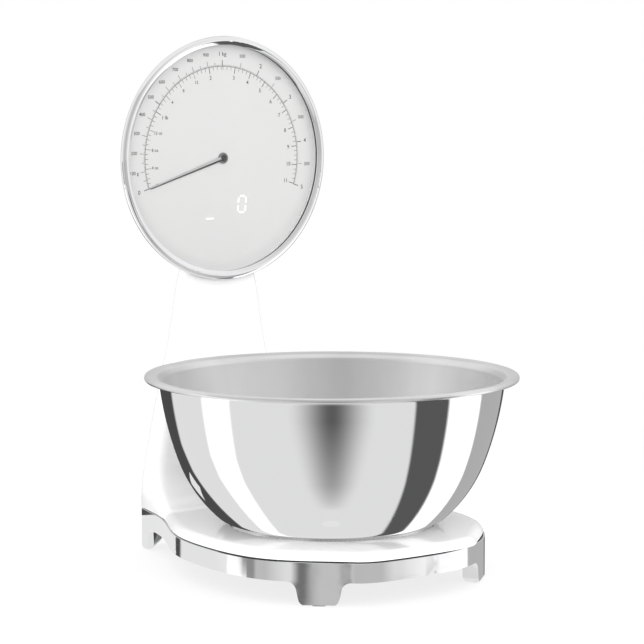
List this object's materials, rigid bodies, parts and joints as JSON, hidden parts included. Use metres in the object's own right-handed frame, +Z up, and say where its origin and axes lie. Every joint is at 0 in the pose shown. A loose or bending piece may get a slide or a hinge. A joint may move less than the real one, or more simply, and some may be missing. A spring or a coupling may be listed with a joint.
{
  "type": "kitchen scale",
  "caption": "Kitchen scale with a loose steel bowl on a low plate, and a round dial head with a pointer held up on a sweeping column behind it.",
  "frame": {"origin": "on the table, below the middle of the bounding box, with every foot pad resting at z = 0", "axes": "+Z up, the dial and the bowl's free side face -Y, +X to the right seen from the front"},
  "size_m": [0.258, 0.2893, 0.3724],
  "materials": {
    "white_enamel": "gloss white enamel",
    "zinc_steel": "zinc plated",
    "plated_ring": "mirror plated",
    "pad_rubber": "matt",
    "seam_rubber": "matt black",
    "grey_plastic": "fine spark texture",
    "tray_plastic": "satin black",
    "cell_cans": "printed metal jacket",
    "nickel_contacts": "nickel plated",
    "cell_aluminium": "milled",
    "spider_aluminium": "as cast",
    "plate_steel": "fine brushed",
    "board_laminate": "green solder mask",
    "chip_black": "satin",
    "ribbon_grey": "satin grey with a red edge",
    "bowl_steel": "mirror outside, satin inside",
    "strap_steel": "zinc plated",
    "bezel_chrome": "mirror plated",
    "lens_glass": "clear",
    "spacer_white": "satin white",
    "dial_white": "printed, matt",
    "carrier_plastic": "satin",
    "touch_copper": "bare copper foil",
    "connector_white": "satin",
    "motor_plastic": "satin black",
    "shaft_steel": "ground",
    "pointer_black": "satin black",
    "cap_steel": "polished"
  },
  "bodies": {
    "stand": {"body_shell": "white_enamel", "column_back_cover": "white_enamel", "back_cover_screws": "zinc_steel", "foot_ring": "plated_ring", "foot_pads": "pad_rubber", "seam_gasket": "seam_rubber", "bottom_cover": "grey_plastic", "bottom_cover_screws": "zinc_steel", "battery_tray": "tray_plastic", "battery_cells": "cell_cans", "battery_contacts": "nickel_contacts", "load_cell": "cell_aluminium", "load_cell_spacer": "cell_aluminium", "load_cell_screws": "zinc_steel", "overload_stop": "zinc_steel", "main_board": "board_laminate", "main_board_posts": "tray_plastic", "main_board_screws": "zinc_steel", "main_board_chips": "chip_black", "ribbon_cable": "ribbon_grey", "head_pan": "white_enamel", "head_bracket": "strap_steel", "head_bracket_screws": "zinc_steel", "bezel_ring": "bezel_chrome", "lens": "lens_glass", "lens_gasket": "seam_rubber", "dial_spacer_ring": "spacer_white", "dial_face": "dial_white", "dial_carrier": "carrier_plastic", "dial_carrier_screws": "zinc_steel", "touch_foil": "touch_copper", "display_board": "board_laminate", "display_board_screws": "zinc_steel", "display_module": "chip_black", "display_connector": "connector_white", "pointer_motor": "motor_plastic", "pointer_motor_screws": "zinc_steel"},
    "platform": {"platform_spider": "spider_aluminium", "platform_screws": "zinc_steel", "platform_plate": "plate_steel"},
    "bowl": {"bowl": "bowl_steel"},
    "pointer": {"pointer_shaft": "shaft_steel", "pointer_hub": "pointer_black", "pointer_blade": "pointer_black", "pointer_cap": "cap_steel"},
    "battery_door": {"battery_door": "grey_plastic"}
  },
  "joints": [
    {"name": "platform_press", "type": "slide", "parent": "stand", "child": "platform", "axis": [0, 0, 1], "range_m": [-0.0005, 0], "stiffness_N_per_m": 100000, "springref_m": 0.0001, "deforming": ["load_cell"]},
    {"name": "bowl_lift", "type": "slide", "parent": "platform", "child": "bowl", "axis": [0, -0.5, 0.866], "range_m": [0, 0.16]},
    {"name": "pointer_sweep", "type": "hinge", "parent": "stand", "child": "pointer", "pos_m": [0, 0.1172, 0.2842], "axis": [0, 1, 0], "range_deg": [0, 216]},
    {"name": "battery_door_hinge", "type": "hinge", "parent": "stand", "child": "battery_door", "pos_m": [0.064, -0.0175, 0.018], "axis": [0, -1, 0], "range_deg": [0, 85]}
  ]
}
